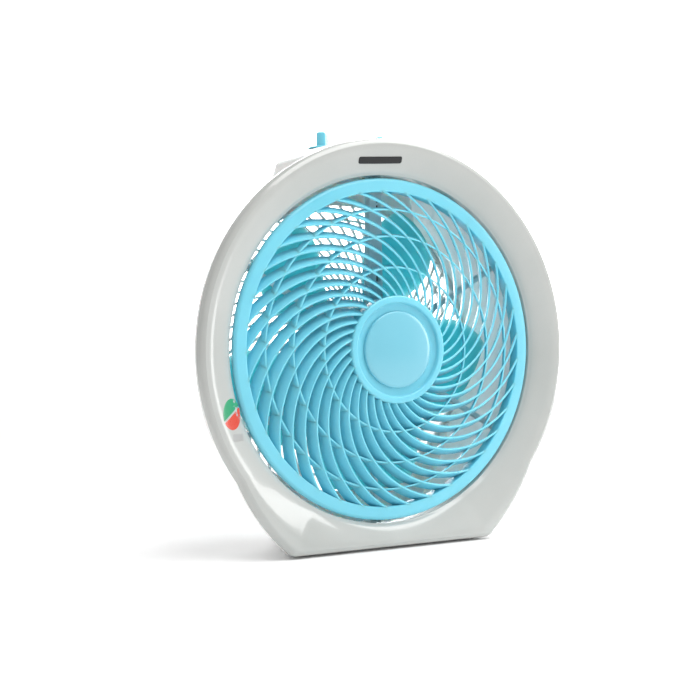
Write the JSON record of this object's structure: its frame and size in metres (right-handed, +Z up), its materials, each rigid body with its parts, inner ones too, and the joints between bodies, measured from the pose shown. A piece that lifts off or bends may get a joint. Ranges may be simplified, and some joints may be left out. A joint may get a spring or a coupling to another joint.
{
  "type": "box fan",
  "caption": "Freestanding round-topped box fan with a turning spiral front grille, fan impeller, domed rear guard and rotary speed and timer knobs.",
  "frame": {"origin": "on the floor plane, under the middle of the fan's width and depth", "axes": "+Z up, -Y towards the front grille (the way the air goes), +X to the right seen from the front"},
  "size_m": [0.404, 0.1304, 0.4083],
  "materials": {
    "white_gloss": "glossy moulded plastic",
    "white_satin": "satin moulded plastic",
    "blue_plastic": "satin light-blue moulded plastic",
    "blue_gloss": "glossy light-blue moulded plastic",
    "grey_plastic": "grey moulded plastic",
    "black_lead": "black flexible insulation",
    "black_plastic": "black moulded plastic",
    "steel": "ground steel",
    "zinc": "zinc-plated steel",
    "lamination": "laminated electrical steel",
    "copper": "enamelled copper wire",
    "bronze": "sintered bronze",
    "motor_cover": "pressed steel cover",
    "electrical": "cream insulating plastic",
    "rubber": "soft black rubber"
  },
  "bodies": {
    "housing": {"front_bezel": "white_gloss", "rear_shell": "white_satin", "rear_guard": "white_satin", "grille_motor": "motor_cover", "front_support": "grey_plastic", "drive_lead": "black_lead", "motor_front_cover": "motor_cover", "motor_rear_cover": "motor_cover", "stator_core": "lamination", "winding_front": "copper", "winding_rear": "copper", "front_bush": "bronze", "rear_bush": "bronze", "speed_switch": "electrical", "timer_body": "electrical", "terminal_block": "electrical", "capacitor": "black_plastic", "cord_inlet": "black_plastic", "foot_1": "rubber", "foot_2": "rubber", "foot_3": "rubber", "foot_4": "rubber", "shell_screw_1": "zinc", "shell_screw_2": "zinc", "shell_screw_3": "zinc", "shell_screw_4": "zinc", "shell_screw_5": "zinc", "shell_screw_6": "zinc", "support_screw_1": "zinc", "support_screw_2": "zinc", "support_screw_3": "zinc", "support_screw_4": "zinc", "support_screw_5": "zinc", "support_screw_6": "zinc", "motor_screw_1": "zinc", "motor_screw_2": "zinc", "motor_screw_3": "zinc", "motor_screw_4": "zinc"},
    "turning_grille": {"swing_grille": "blue_plastic", "grille_cap": "blue_gloss", "grille_screw": "zinc", "grille_shaft": "steel"},
    "fan_rotor": {"impeller": "blue_plastic", "impeller_nut": "blue_plastic", "fan_shaft": "steel", "rotor_core": "lamination"},
    "speed_control": {"speed_knob": "blue_plastic", "speed_shaft": "zinc"},
    "timer_control": {"timer_knob": "blue_plastic", "timer_shaft": "zinc"}
  },
  "joints": [
    {"name": "grille_spin", "type": "hinge", "parent": "housing", "child": "turning_grille", "pos_m": [0, 0, 0.192], "axis": [0, 1, 0], "continuous": true},
    {"name": "fan_spin", "type": "hinge", "parent": "housing", "child": "fan_rotor", "pos_m": [0, 0, 0.192], "axis": [0, 1, 0], "continuous": true},
    {"name": "speed_turn", "type": "hinge", "parent": "housing", "child": "speed_control", "pos_m": [-0.0345, 0.0248, 0.391], "axis": [0, 0, 1], "range_deg": [-120, 0]},
    {"name": "timer_turn", "type": "hinge", "parent": "housing", "child": "timer_control", "pos_m": [0.0345, 0.0248, 0.391], "axis": [0, 0, 1], "range_deg": [-270, 30]}
  ]
}
